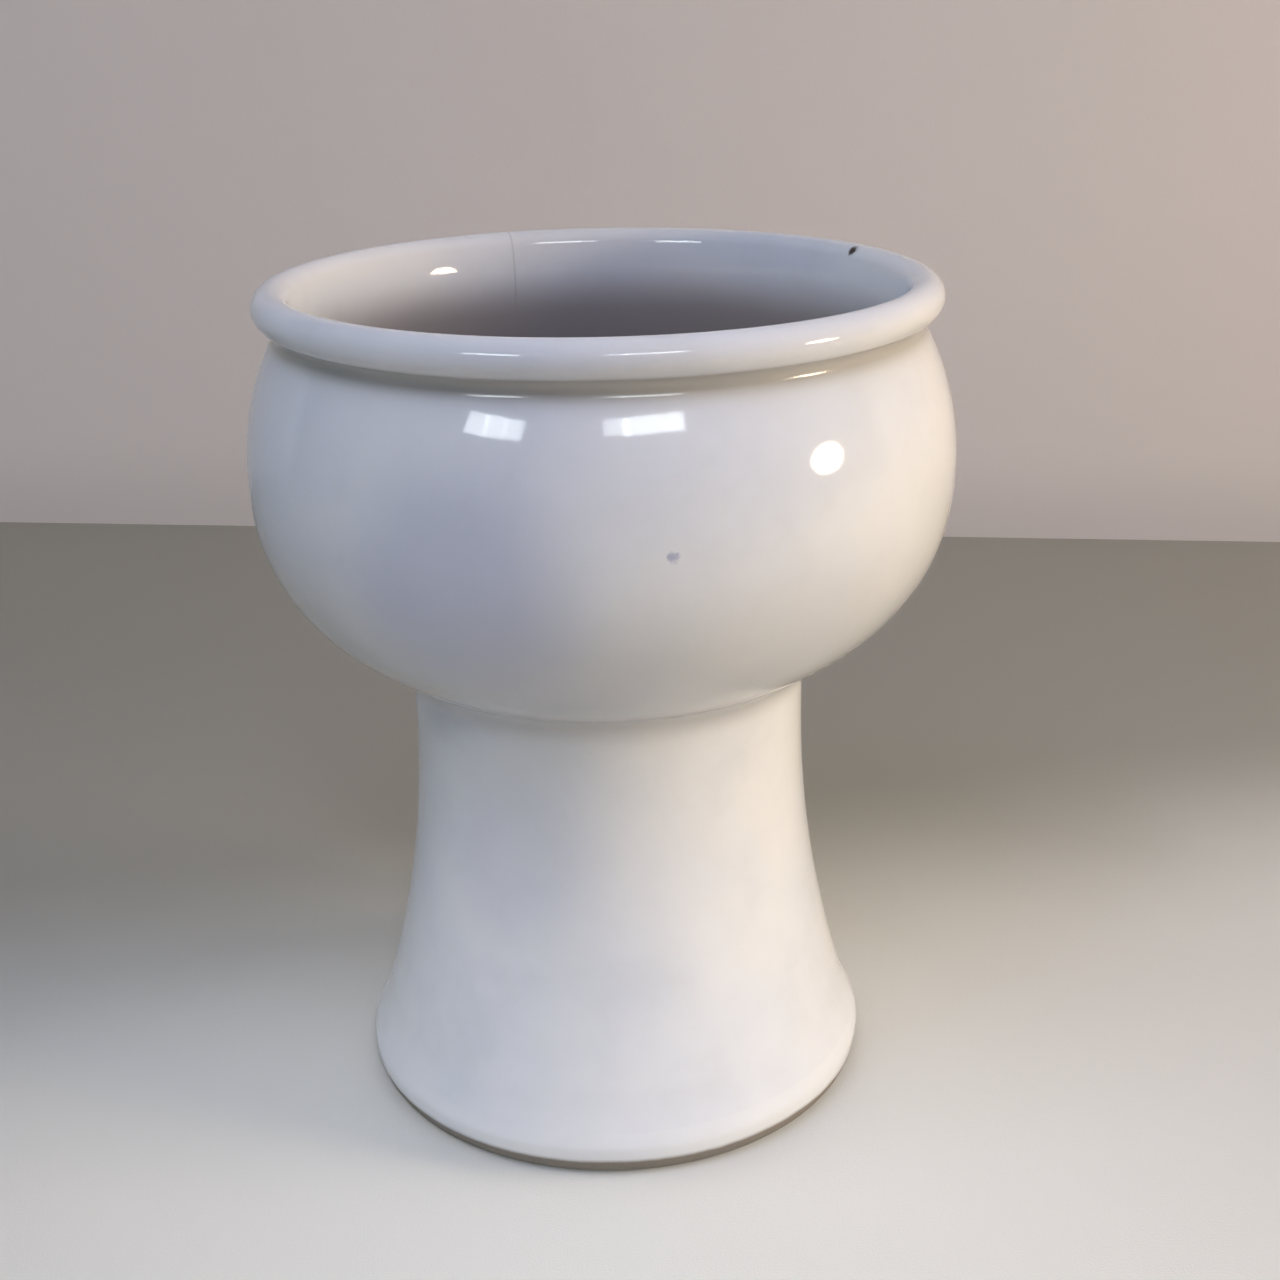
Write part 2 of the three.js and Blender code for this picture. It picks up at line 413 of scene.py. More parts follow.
    def rim(self):
        """From the crease under the rim round the bead to the mouth."""
        sizes = self.sizes
        neck = np.array([self.belly_radius(sizes.neck_height), sizes.neck_height])
        bead, onwards = self.bead(np.linspace(self.BEAD_TURN, self.MOUTH_TURN, 90))
        belly_lean = sizes.neck_height - sizes.belly_height
        belly_lean *= sizes.belly_radius ** 2 / sizes.belly_rise ** 2 / neck[0]
        up_belly = np.array([-belly_lean, 1]) / math.hypot(belly_lean, 1)
        reach = self.CREASE_REACH
        crease = bezier(neck, neck + reach * up_belly, bead[0] - reach * onwards[0], bead[0])
        return np.concatenate([crease, bead[1:-1]])

    def inner_wall(self):
        """From the bead down the narrow throat and the inside to the middle of the floor."""
        sizes = self.sizes
        mouth, down = self.bead(self.MOUTH_TURN)
        widest = np.array([sizes.belly_radius - sizes.wall, sizes.belly_height])
        throat = bezier(
            mouth, mouth + self.THROAT_REACH * down,
            widest + (0, self.INNER_BELLY_REACH), widest, count=160)
        floor = LINING_LOW.z + COAT * 2 / 3
        floor_edge = self.lower_belly_angle(floor + self.FLOOR_EDGE_RISE, sizes.wall)
        lower = self.lower_belly(0, floor_edge, sizes.wall)[1:]
        edge = lower[-1]
        corner, end = ((edge[0] - reach, floor) for reach in self.FLOOR_BEND)
        blend = bezier(edge, corner, end, count=20)[1:]
        return np.concatenate([throat, lower, blend, [(0, floor)]])


# ---- Mesh ----

ON_AXIS = 1e-6
SEGMENTS = 240

# Lobes round the axis, climb in radians per metre of height, and share of the unevenness.
RIPPLES = ((2, 0.0, 0.9), (3, 14.0, 0.35), (5, 31.0, 0.16), (7, 47.0, 0.08))

# The ripples fade away towards the axis and towards the table.
STEADY_RADIUS = 20 * MM
STEADY_HEIGHT = 10 * MM


def surface_grid(points, unevenness):
    """Turns the outline about the axis. The radius strays by slow ripples, alike on all pieces."""
    phase = np.random.default_rng(7).uniform(0, 2 * math.pi, len(RIPPLES))
    angle = np.arange(SEGMENTS) * 2 * math.pi / SEGMENTS
    radius, height = points[:, :1], points[:, 1:]
    stray = sum(
        share * np.cos(lobes * angle + climb * height + start)
        for (lobes, climb, share), start in zip(RIPPLES, phase))
    fade = np.clip(radius / STEADY_RADIUS, 0, 1) * np.clip(height / STEADY_HEIGHT, 0, 1)
    uneven = radius + unevenness * fade * stray
    return np.stack([
        uneven * np.cos(angle), uneven * np.sin(angle), np.broadcast_to(height, uneven.shape)], -1)


def grid_normals(grid, before, after):
    """Normals across the grid's rows, with the rows next to its ends."""
    rows = np.concatenate([before, grid, after])
    ahead = rows[2:] - rows[:-2]
    around = np.roll(grid, -1, axis=1) - np.roll(grid, 1, axis=1)
    normals = np.cross(around, ahead)
    length = np.linalg.norm(normals, axis=-1, keepdims=True)
    return normals / np.maximum(length, 1e-12)


def ring_faces(rows):
    """Faces between each row of vertices and the next, round the loop. A row on the axis is one
    vertex, so its faces are triangles."""
    faces = []
    for lower, upper in zip(rows, rows[1:] + rows[:1]):
        if lower[0] == lower[1] and upper[0] == upper[1]:
            continue
        for i in range(SEGMENTS):
            j = (i + 1) % SEGMENTS
            faces.append(tuple(dict.fromkeys((lower[i], lower[j], upper[j], upper[i]))))
    return faces


def turned_mesh(name, loop, grid, normals, marks):
    """A closed mesh from the grid's rows, with normals and marks given for each row."""
    vertices, vertex_normals, vertex_marks, rows = [], [], [], []
    for i, (radius, height) in enumerate(loop):
        first = len(vertices)
        if radius < ON_AXIS:
            rows.append([first] * SEGMENTS)
            vertices.append((0, 0, height))
            vertex_normals.append((0, 0, math.copysign(1, normals[i, 0, 2])))
        else:
            rows.append(range(first, first + SEGMENTS))
            vertices.extend(grid[i])
            vertex_normals.extend(normals[i])
        vertex_marks.extend([marks[i]] * (len(vertices) - first))

    mesh = bpy.data.meshes.new(name)
    mesh.from_pydata(vertices, [], ring_faces(rows))
    for column, mark in enumerate(("hollow", "proud")):
        layer = mesh.attributes.new(mark, "FLOAT", "POINT")
        layer.data.foreach_set("value", np.array(vertex_marks, np.float32)[:, column].copy())
    mesh.polygons.foreach_set("use_smooth", [True] * len(mesh.polygons))
    mesh.normals_split_custom_set_from_vertices(vertex_normals)
    return mesh


def turned_piece(name, face, back, material, neighbours=(None, None), marks=None):
    """A closed solid turned from its visible face and its back, which run on round one loop with
    the solid to the left. The face's end normals follow the neighbouring stretches, so that joints
    between pieces don't show."""
    unevenness = bpy.context.scene.vase_sizes.unevenness
    loop = np.concatenate([face, back])
    grid = surface_grid(loop, unevenness)
    before, after = (
        None if point is None else surface_grid(point[None], unevenness) for point in neighbours)
    normals = grid_normals(grid, grid[-1:], grid[:1])
    count = len(face)
    normals[:count] = grid_normals(
        grid[:count],
        grid[-1:] if before is None else before,
        grid[count:count + 1] if after is None else after)
    loop_marks = np.zeros((len(loop), 2))
    if marks:
        loop_marks[:count] = np.stack(marks, 1)

    piece = bpy.data.objects.new(name, turned_mesh(name, loop, grid, normals, loop_marks))
    bpy.context.scene.collection.objects.link(piece)
    piece.data.materials.append(material)
    return piece


# ---- Shaders ----

class Wire:
    """An output socket. Arithmetic on it adds Math nodes."""

    def __init__(self, shader, socket):
        self.shader = shader
        self.socket = socket

    def math(self, operation, *values):
        return self.shader.add("ShaderNodeMath", {"operation": operation}, dict(enumerate(values)))

    def __add__(self, other):
        return self.math("ADD", self, other)

    def __radd__(self, other):
        return self.math("ADD", other, self)

    def __sub__(self, other):
        return self.math("SUBTRACT", self, other)

    def __rsub__(self, other):
        return self.math("SUBTRACT", other, self)

    def __mul__(self, other):
        return self.math("MULTIPLY", self, other)

    def __rmul__(self, other):
        return self.math("MULTIPLY", other, self)


class Shader:
    """A material's node tree."""

    def __init__(self, name):
        self.material = bpy.data.materials.new(name)
        self.material.use_nodes = True
        self.tree = self.material.node_tree
        self.tree.nodes.clear()

    def add(self, kind, settings=None, inputs=None, output=0):
        """Adds a node with its settings and the values or links of its inputs."""
        node = self.tree.nodes.new(kind)
        for name, value in (settings or {}).items():
            setattr(node, name, value)
        for key, value in (inputs or {}).items():
            if isinstance(value, Wire):
                self.tree.links.new(value.socket, node.inputs[key])
            else:
                node.inputs[key].default_value = value
        return Wire(self, node.outputs[output])

    def place(self):
        """The place in metres from the middle of the foot."""
        return self.add("ShaderNodeTexCoord", output="Object")

    def mark(self, name):
        """A number that the mesh holds at each vertex."""
        return self.add("ShaderNodeAttribute", {"attribute_name": name}, output="Fac")

    def noise(self, vector, scale, detail=2.0, roughness=0.5):
        return self.add("ShaderNodeTexNoise", None, {
            "Vector": vector, "Scale": scale, "Detail": detail, "Roughness": roughness}, "Fac")

    def cells(self, vector, scale, output="Distance"):
        return self.add("ShaderNodeTexVoronoi", None, {"Vector": vector, "Scale": scale}, output)

    def smooth(self, value, low, high):
        """0 below low, 1 above high, and smooth between."""
        return self.add("ShaderNodeMapRange", {"interpolation_type": "SMOOTHSTEP"}, {
            "Value": value, "From Min": low, "From Max": high})

    def part(self, vector, axis):
        return self.add("ShaderNodeSeparateXYZ", None, {0: vector}, axis)

    def vector_math(self, operation, *vectors, output="Vector"):
        return self.add(
            "ShaderNodeVectorMath", {"operation": operation}, dict(enumerate(vectors)), output)

    def blend(self, factor, first, second):
        """The first colour where the factor is 0 and the second where it is 1."""
        colours = [
            colour if isinstance(colour, Wire) else (*colour, 1) for colour in (first, second)]
        return self.add("ShaderNodeMix", {"data_type": "RGBA"}, {
            0: factor, 6: colours[0], 7: colours[1]}, 2)

    def bump(self, height, strength, distance):
        return self.add("ShaderNodeBump", None, {
            "Strength": strength, "Distance": distance, "Height": height}, "Normal")

    def principled(self, sockets):
        return self.add("ShaderNodeBsdfPrincipled", None, sockets)

    def finish(self, surface):
        output = self.tree.nodes.new("ShaderNodeOutputMaterial")
        self.tree.links.new(surface.socket, output.inputs["Surface"])
        return self.material


def scaled(colour, share):
    return tuple(channel * share for channel in colour)


def tinted(colour, tint):
    return tuple(channel * share for channel, share in zip(colour, tint))


# ---- Materials ----

GLAZE_IOR = 1.52
GLAZE_RELIEF = (0.5, 0.12 * MM)  # strength and depth of its bumps
CLAY_ROUGHNESS = 0.85
COOL_TINT = (0.935, 0.96, 1.01)
COOL_FOOT_TINT = (0.955, 0.975, 1.01)

# Heights above the table, and distances from the axis, between which the glaze and its painted
# shade change.
POOL_AND_SHADE_DEEPENS = (0.09, 0.12)
UNDERSIDE_SHADE_STARTS = (0.0815, 0.087)
UNDERSIDE_SHADE_ENDS = (0.098, 0.132)
STAIN_AND_SHADE_ENDS = (0.1420, 0.1525)
RIM_STARTS = (0.1475, 0.1495)
RIM_SIDE = (0.0562, 0.0575)

# Marks in the glaze and two patches of painted shade and reflection: where each is, its radius, how
# dark it is and its colour.
BLEMISHES_AND_SHADE_PATCHES = (
    ((0.0103, -0.0640, 0.1257), 1.3 * MM, 0.60, (0.20, 0.22, 0.36)),
    ((0.0499, 0.0271, 0.1578), 1.5 * MM, 0.97, (0.05, 0.03, 0.02)),
    ((-0.0249, -0.0434, 0.0157), 1.5 * MM, 0.55, (0.28, 0.28, 0.32)),
    ((0.0254, 0.0516, 0.1418), 1.7 * MM, 0.40, (0.20, 0.15, 0.12)),
    # Two wide bluish patches: painted shade and painted reflection of the room, not marks in the
    # glaze.
    ((-0.0230, -0.0580, 0.1190), 27.0 * MM, 0.46, (0.37, 0.40, 0.53)),
    ((-0.0180, -0.0340, 0.0600), 21.0 * MM, 0.22, (0.38, 0.41, 0.52)),
)


def hairline(shader, place):
    """A fine upright crack inside the rim, on the bowl's far left."""
    off_line = shader.part(place, "X") * 0.949 + shader.part(place, "Y") * 0.320
    width = off_line.math("ABSOLUTE", off_line)
    far_side = shader.smooth(shader.part(place, "Y"), 0.040, 0.045)
    above_stain = shader.smooth(shader.part(place, "Z"), 0.142, 0.148)
    return (1 - shader.smooth(width, 0.08 * MM, 0.34 * MM)) * far_side * above_stain


def throwing_lines(shader, place):
    """Faint level ridges that a potter's fingers leave on the wheel."""
    level = shader.add("ShaderNodeCombineXYZ", None, {"Z": shader.part(place, "Z")}, "Vector")
    return shader.noise(level, 150)


def slow_cloud(shader, place):
    return shader.noise(place, 22, 3, 0.5)


def fine_mottle(shader, place):
    return shader.noise(place, 160, 4, 0.6)


def clean_glaze(shader, finish, cloud, mottle, cool_tint):
    """The colour of glaze of even thickness, which drifts between warm and cool white."""
    warm, cool = scaled(finish.glaze_colour, 1.03), tinted(finish.glaze_colour, cool_tint)
    colour = shader.blend(shader.smooth(cloud, 0.35, 0.65), warm, cool)
    thin = scaled(finish.glaze_colour, 0.93)
    return shader.blend(shader.smooth(mottle, 0.3, 0.75) * 0.25, colour, thin)


def pooled_and_shaded(shader, colour, finish, place, cloud):
    """The colour greyer in hollows from pooled glaze and painted shade, greyer on the bowl's
    underside from painted shade, and thin on sharp edges.
    """
    height_up = shader.part(place, "Z")
    # Pooled glaze in hollows, with painted shade that deepens it towards the crease under the rim.
    pool = shader.mark("hollow") * (0.40 + shader.smooth(height_up, *POOL_AND_SHADE_DEEPENS) * 0.45)
    colour = shader.blend(pool, colour, finish.pooled_and_shade_colour)
    # Painted shade on the bowl's underside, which greys its glaze.
    under = shader.smooth(height_up, *UNDERSIDE_SHADE_STARTS)
    under = under * (1 - shader.smooth(height_up, *UNDERSIDE_SHADE_ENDS))
    colour = shader.blend(under * (0.42 + cloud * 0.20), colour, finish.pooled_and_shade_colour)
    return shader.blend(shader.mark("proud") * 0.10, colour, scaled(finish.clay_colour, 1.1))


def stain_and_shade_inside(shader, colour, finish, place, cloud):
    """The colour turned grey from just under the rim downwards, partly stain and partly painted
    shade, with the hairline crack.
    """
    from_axis = shader.vector_math(
        "LENGTH", shader.vector_math("MULTIPLY", place, (1, 1, 0)), output="Value")
    outside = shader.smooth(from_axis, *RIM_SIDE)
    height_up = shader.part(place, "Z") + (cloud - 0.5) * (4 * MM)
    clean = outside * shader.smooth(height_up, *RIM_STARTS)
    clean = clean.math("MAXIMUM", shader.smooth(height_up, *STAIN_AND_SHADE_ENDS), clean)
    colour = shader.blend(clean, finish.stain_and_shade_colour, colour)
    return shader.blend(hairline(shader, place) * 0.20, colour, scaled(finish.stain_and_shade_colour, 0.4))


def blemished_and_shaded(shader, colour, place, grain):
    """The colour with the glaze's own marks and two patches of painted shade and reflection, whose
    edges are ragged.
    """
    for centre, radius, strength, tint in BLEMISHES_AND_SHADE_PATCHES:
        offset = shader.vector_math("SUBTRACT", place, centre)
        ragged = shader.vector_math("LENGTH", offset, output="Value") + (grain - 0.5) * (1.6 * MM)
        mask = (1 - shader.smooth(ragged, radius * 0.35, radius)) * strength
        colour = shader.blend(mask, colour, tint)
    return colour


def glaze_material(finish, name="white_glaze", stained=False):
    """White glaze, with rare specks and pinholes, and painted shade in its hollows, on the bowl's
    underside and in two bluish patches. Inside the bowl it is stained and darkened by painted
    shade.
    """
    shader = Shader(name)
    place = shader.place()
    cloud = slow_cloud(shader, place)
    mottle = fine_mottle(shader, place)
    smudge = shader.noise(place, 45, 5, 0.65)
    grain = shader.noise(place, 900, 3, 0.6)
    cell = shader.cells(place, 110)
    chosen = shader.smooth(shader.cells(place, 110, "Color"), 0.80, 0.83)

    colour = clean_glaze(shader, finish, cloud, mottle, COOL_TINT)
    colour = shader.blend(
        shader.smooth(smudge, 0.48, 0.72) * 0.10, colour, finish.pooled_and_shade_colour)
    colour = pooled_and_shaded(shader, colour, finish, place, cloud)
    # Inside the bowl: stain and painted shade.
    if stained:
        colour = stain_and_shade_inside(shader, colour, finish, place, cloud)
    speck = (1 - shader.smooth(cell, 0.02, 0.05)) * chosen
    colour = shader.blend(speck * 0.35, colour, (0.22, 0.17, 0.12))
    colour = blemished_and_shaded(shader, colour, place, grain)

    roughness = finish.glaze_roughness + shader.smooth(smudge, 0.5, 0.8) * 0.05 + speck * 0.2
    roughness = roughness + shader.mark("hollow") * 0.10
    pinhole = (1 - shader.smooth(cell, 0.015, 0.04)) * (1 - chosen)
    height = grain * 0.02 + mottle * 0.35 + cloud * 1.2 - pinhole * 0.15
    height = height + throwing_lines(shader, place) * 0.35
    return shader.finish(shader.principled({
        "Base Color": colour, "Roughness": roughness, "IOR": GLAZE_IOR,
        "Normal": shader.bump(height, *GLAZE_RELIEF)}))


def clay_material(finish):
    """Fired clay, grainy and a little gritty."""
    shader = Shader("bare_clay")
    place = shader.place()
    cloud = shader.noise(place, 60, 3, 0.5)
    grain = shader.noise(place, 1400, 4, 0.7)
    grit = shader.cells(place, 700)
    clay_colour = finish.clay_colour
    colour = shader.blend(cloud, scaled(clay_colour, 1.08), scaled(clay_colour, 0.9))
    colour = shader.blend(shader.smooth(grain, 0.45, 0.75) * 0.4, colour, scaled(clay_colour, 0.7))
    colour = shader.blend((1 - shader.smooth(grit, 0.08, 0.2)) * 0.35, colour, (0.25, 0.18, 0.12))
    return shader.finish(shader.principled({
        "Base Color": colour, "Roughness": 0.82 + grain * 0.1,
        "Normal": shader.bump(grain + grit * 0.5, 0.6, 0.25 * MM)}))


def foot_material(finish):
    """Glaze that stops just short of the standing ring, where the clay is wiped bare; the bare band
    is darkened further with painted contact shade.
    """
    shader = Shader("foot_glaze_and_clay")
    place = shader.place()
    # Glaze ends about 4 mm up: a bare band widened to carry painted contact shade as well as bare
    # clay.
    wander = (shader.noise(place, 120, 3, 0.6) - 0.5) * (0.8 * MM)
    glazed = shader.smooth(shader.part(place, "Z") + wander, 3.3 * MM, 4.5 * MM)
    mottle = fine_mottle(shader, place)
    grain = shader.noise(place, 1400, 4, 0.7)
    cloud = slow_cloud(shader, place)
    coat = clean_glaze(shader, finish, cloud, mottle, COOL_FOOT_TINT)
    # Bare clay darkened well below its own colour: partly clay, partly painted contact shade under
    # the foot's edge.
    clay_and_contact_shade = shader.blend(
        grain, scaled(finish.clay_colour, 0.55), scaled(finish.clay_colour, 0.35))
    height = mottle * 0.35 + cloud * 1.2 + (1 - glazed) * grain * 2 + glazed * 2
    return shader.finish(shader.principled({
        "Base Color": shader.blend(glazed, clay_and_contact_shade, coat),
        "Roughness": CLAY_ROUGHNESS - glazed * (CLAY_ROUGHNESS - finish.glaze_roughness),
        "IOR": GLAZE_IOR, "Normal": shader.bump(height, *GLAZE_RELIEF)}))


def cloth_grain(shader, place):
    """The fine weave of a cloth and its broad blotches or folds."""
    return shader.noise(place, 2600), shader.noise(place, 9, 4, 0.55)


def cloth(shader, tone, weave, glow=None):
    return shader.principled({
        "Base Color": tone, "Roughness": 0.95, "Specular IOR Level": 0.2,
        "Normal": shader.bump(weave, 0.3, 0.2 * MM), **(glow or {})})


def floor_material(studio):
    """Woven cloth, with a painted shadow that darkens it behind the vase."""
    shader = Shader("floor_cloth")
    place = shader.place()
    weave, blotch = cloth_grain(shader, place)
    # Painted shadow edge across the floor, running diagonally behind the vase.
    back = shader.part(place, "Y") - shader.part(place, "X") * 0.20 + (blotch - 0.5) * 0.03
    tone = shader.blend(
        shader.smooth(back, 0.0, 0.11), studio.floor_colour, studio.floor_shadow_colour)
    tone = shader.blend(weave * 0.05 + blotch * 0.05, tone, scaled(studio.floor_colour, 0.6))
    return shader.finish(cloth(shader, tone, weave))


def backdrop_material(studio):
    """Cloth with a faint painted glow, standing in for light from behind it. It shows only its
    front, so that the vase can be seen from behind too."""
    shader = Shader("backdrop_cloth")
    place = shader.place()
    weave, fold = cloth_grain(shader, place)
    colour = studio.backdrop_colour
    tone = shader.blend(fold * 0.2 + weave * 0.05, colour, scaled(colour, 0.75))
    # Painted shade along the backdrop's lowest 4 cm, where it meets the floor.
    foot = 1 - shader.smooth(shader.part(place, "Z"), 0, 0.04)
    tone = shader.blend(foot * 0.5, tone, scaled(colour, 0.6))
    # Painted glow: the cloth's emission lights the scene though it is no lamp.
    front = cloth(shader, tone, weave, {
        "Emission Color": (1, 0.97, 1, 1), "Emission Strength": 0.12})
    clear = shader.add("ShaderNodeBsdfTransparent")
    behind = shader.add("ShaderNodeNewGeometry", output="Backfacing")
    return shader.finish(shader.add("ShaderNodeMixShader", None, {0: behind, 1: front, 2: clear}))


def wall_material(studio):
    """Paint that glows evenly, a little cloudy."""
    shader = Shader("room_wall")
    cloud = shader.noise(shader.place(), 0.6)
    tone = shader.blend(
        cloud, scaled(studio.backdrop_colour, 0.62), scaled(studio.backdrop_colour, 0.54))
    return shader.finish(shader.principled({
        "Base Color": (0, 0, 0, 1), "Roughness": 1.0, "Specular IOR Level": 0.0,
        "Emission Color": tone, "Emission Strength": 1.0}))


def material_once(name, make, *settings):
    """The material of this name, made at its first use."""
    finish = bpy.context.scene.vase_finish
    return bpy.data.materials.get(name) or make(finish, *settings)


def glaze():
    return material_once("white_glaze", glaze_material)


def lining_glaze():
    return material_once("lining_glaze", glaze_material, "lining_glaze", True)


def clay():
    return material_once("bare_clay", clay_material)


# ---- Pieces ----

GLAZE_THICKNESS = 0.6 * MM


def place_piece(piece, node):
    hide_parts(node)
    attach(piece, BODY)


def outline_piece(name, stretch, node, back, material):
    """A glazed piece whose face is one stretch of the outline."""
    outline = VaseOutline(bpy.context.scene.vase_sizes)
    face = outline.stretch(stretch)
    piece = turned_piece(
        name, face, back(face), material, outline.neighbours(stretch), outline.marks(stretch))
    place_piece(piece, node)


def coat_back(face):
    """The underside of a skin of glaze."""
    back = sunk(face, GLAZE_THICKNESS)[::-1]
    back[:, 0] = np.where(face[::-1, 0] < ON_AXIS, 0, back[:, 0])
    return back


class VASE_OT_bowl_glaze(bpy.types.Operator):
    """Glaze over the outside of the bowl"""

    bl_idname = "vase.bowl_glaze"
    bl_label = "Bowl glaze"

    def execute(self, context):
        outline_piece("glazed_belly", "belly", "bowl_glaze", coat_back, glaze())
        return {"FINISHED"}


class VASE_OT_pedestal_glaze(bpy.types.Operator):
    """Glaze over the outside of the pedestal"""

    bl_idname = "vase.pedestal_glaze"
    bl_label = "Pedestal glaze"

    def execute(self, context):
        outline_piece("glazed_stem", "stem", "pedestal_glaze", coat_back, glaze())
        return {"FINISHED"}


class VASE_OT_collar(bpy.types.Operator):
    """Fillet of glazed slip between the bowl and the pedestal"""

    bl_idname = "vase.collar"
    bl_label = "Joint collar"

    def execute(self, context):
        outline_piece("slip_collar", "collar", "joint_collar", coat_back, glaze())
        return {"FINISHED"}


class VASE_OT_lining(bpy.types.Operator):
    """Glaze inside the bowl, down its wall and over its floor"""

    bl_idname = "vase.lining"
    bl_label = "Bowl lining"

    def execute(self, context):
        outline_piece("glazed_lining", "lining", "lining_glaze", coat_back, lining_glaze())
        return {"FINISHED"}


class VASE_OT_rim(bpy.types.Operator):
    """Rolled rim"""

    bl_idname = "vase.rim"
    bl_label = "Rolled rim"

    def execute(self, context):
        outline_piece(
            "rolled_rim", "rim", "rim_roll",
            lambda face: np.linspace(face[-1], face[0], 8)[1:-1], lining_glaze())
        return {"FINISHED"}


class VASE_OT_foot(bpy.types.Operator):
    """Rounded foot with its bare standing ring"""

    bl_idname = "vase.foot"
    bl_label = "Foot"

    ring_width = 3 * MM
    chamfer = 1.2 * MM
    wall = 5.1 * MM

    def execute(self, context):
        outline_piece(
            "rounded_foot", "foot", "foot_ring", self.hollow_side,
            foot_material(context.scene.vase_finish))
        return {"FINISHED"}

    def hollow_side(self, face):
        sizes = bpy.context.scene.vase_sizes
        ring_inner = sizes.standing_ring - self.ring_width
        inside = np.array([
            face[-1],
            (sizes.flare_radius - self.wall, sizes.foot_height),
            (ring_inner - self.chamfer, self.chamfer),
            (ring_inner, 0),
            face[0]])
        return respaced(inside, VaseOutline.FINE)[1:-1]


class VASE_OT_clay(bpy.types.Operator):
    """Bare clay of the bowl and the pedestal, seen inside the pedestal's hollow"""

    bl_idname = "vase.clay"
    bl_label = "Clay bodies"

    pedestal_wall = 4.2 * MM
    pedestal_gap = 2.5 * MM  # from CAD's top of the pedestal down to this one's

    def execute(self, context):
        outline = VaseOutline(context.scene.vase_sizes)
        self.pedestal(outline)
        self.bowl(outline, context.scene.vase_sizes)
        return {"FINISHED"}

    def pedestal(self, outline):
        low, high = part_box("pedestal_body")
        heights = np.linspace(low.z, high.z - self.pedestal_gap, 90)
        stem = np.array([(outline.stem_radius(height), height) for height in heights])
        outside = stem - (COAT, 0)
        inside = (stem - (COAT + self.pedestal_wall, 0))[::-1]
        pedestal = turned_piece("clay_pedestal", outside, inside, clay())
        place_piece(pedestal, "pedestal_body")

    def bowl(self, outline, sizes):
        rise = np.linspace(sizes.belly_height, sizes.neck_height, 40)[1:]
        outside_upper = [(outline.belly_radius(height, COAT), height) for height in rise]
        outside = np.concatenate([outline.lower_belly(math.pi / 2, 0, COAT, 90), outside_upper])
        outside[0][0] = 0
        inset = sizes.wall - COAT
        floor = LINING_LOW.z - COAT / 3
        angle = outline.lower_belly_angle(floor, inset)
        inside_upper = [(outline.inner_radius(height, inset), height) for height in rise[::-1]]
        inside = np.concatenate([
            inside_upper, outline.lower_belly(0, angle, inset, 90), [(0, floor)]])
        place_piece(turned_piece("clay_bowl", outside, inside, clay()), "bowl_body")


# ---- Studio ----

ROOM_SIDE = 1.5
ROOM_DEPTH = 1.3
ROOM_HEIGHT = 3.0
ROOM_CORNERS = (
    (-ROOM_SIDE, -ROOM_DEPTH), (ROOM_SIDE, -ROOM_DEPTH),
    (ROOM_SIDE, ROOM_DEPTH), (-ROOM_SIDE, ROOM_DEPTH))
BACKDROP_HEIGHT = 0.45
FAR = 2.0  # from the belly to the distant lights

DAYLIGHT_TINT = (0.90, 0.97, 1.0)

# Azimuth, elevation, width and height in degrees, and brightness, of each window pane.
WINDOW_PANES = (
    (-42.0, 30.2, 6.2, 7.6, 9.5),
    (-35.4, 30.2, 6.4, 7.6, 10.5),
    (-28.8, 30.2, 6.0, 7.6, 9.5),
    (5.6, 32.4, 7.0, 5.6, 7.0),
    (18.2, 32.4, 17.5, 6.8, 11.0),
)

# Azimuth, elevation, distance, size, and watts of red, green and blue, of each soft panel.
PANELS = {
    "panel_right": (90, 8.5, FAR, (1.1, 0.6), (17.0, 15.0, 12.7)),
    "panel_left_low": (-90, 12, FAR, (1.1, 0.6), (1.3, 3.5, 7.0)),
    "panel_left_high": (-90, 35, FAR, (1.1, 1.2), (5.0, 3.7, 0.2)),
    "panel_behind": (180, 50, 1.3, (0.8, 0.5), (2.0, 2.0, 2.0)),
    "panel_window": (-46, 56, FAR, (0.9, 0.7), (3.6, 4.2, 7.0)),
    "panel_right_high": (86, 24, 1.5, (0.4, 0.3), (4.6, 3.85, 3.2)),
}


def stage_sheet(name, corners, material):
    mesh = bpy.data.meshes.new(name)
    mesh.from_pydata(corners, [], [tuple(range(len(corners)))])
    sheet = bpy.data.objects.new(name, mesh)
    bpy.context.scene.collection.objects.link(sheet)
    sheet.data.materials.append(material)
    return sheet


def upright_corners(start, end, height):
    return [(*start, 0), (*end, 0), (*end, height), (*start, height)]


def place_light(data, direction, distance, target):
    """Puts a light at a distance from its target, facing it."""
    light = bpy.data.objects.new(data.name, data)
    bpy.context.scene.collection.objects.link(light)
    light.location = Vector(target) + direction * distance
    light.rotation_euler = direction.to_track_quat("Z", "Y").to_euler()
    return light


def heading(azimuth, elevation):
    """A direction from its azimuth, from the front towards the right, and its elevation."""
    across, up = math.radians(azimuth), math.radians(elevation)
    return Vector((math.sin(across) * math.cos(up), -math.cos(across) * math.cos(up), math.sin(up)))


def coloured(data, power):
    """Sets a light's watts and colour from its watts of red, green and blue."""
    data.energy = max(power)
    data.color = [channel / data.energy for channel in power]


def area_light(name, azimuth, elevation, distance, size, power, target, shape="RECTANGLE"):
    data = bpy.data.lights.new(name, "AREA")
    data.shape = shape
    data.size, data.size_y = size
    coloured(data, power)
    return place_light(data, heading(azimuth, elevation), distance, target)


def soft_panel(*settings):
    """A panel so wide and soft that it leaves no image of itself in the glaze."""
    area_light(*settings).visible_glossy = False


def window_pane(name, azimuth, elevation, width, height, brightness, target):
    """A distant pane, of a width and height in degrees, seen in the glaze only: the soft panels
    already stand for the daylight that it sheds."""
    size = [2 * FAR * math.tan(math.radians(angle) / 2) for angle in (width, height)]
    watts = brightness * math.pi * size[0] * size[1]
    power = scaled(DAYLIGHT_TINT, watts)
    area_light(name, azimuth, elevation, FAR, size, power, target).visible_diffuse = False


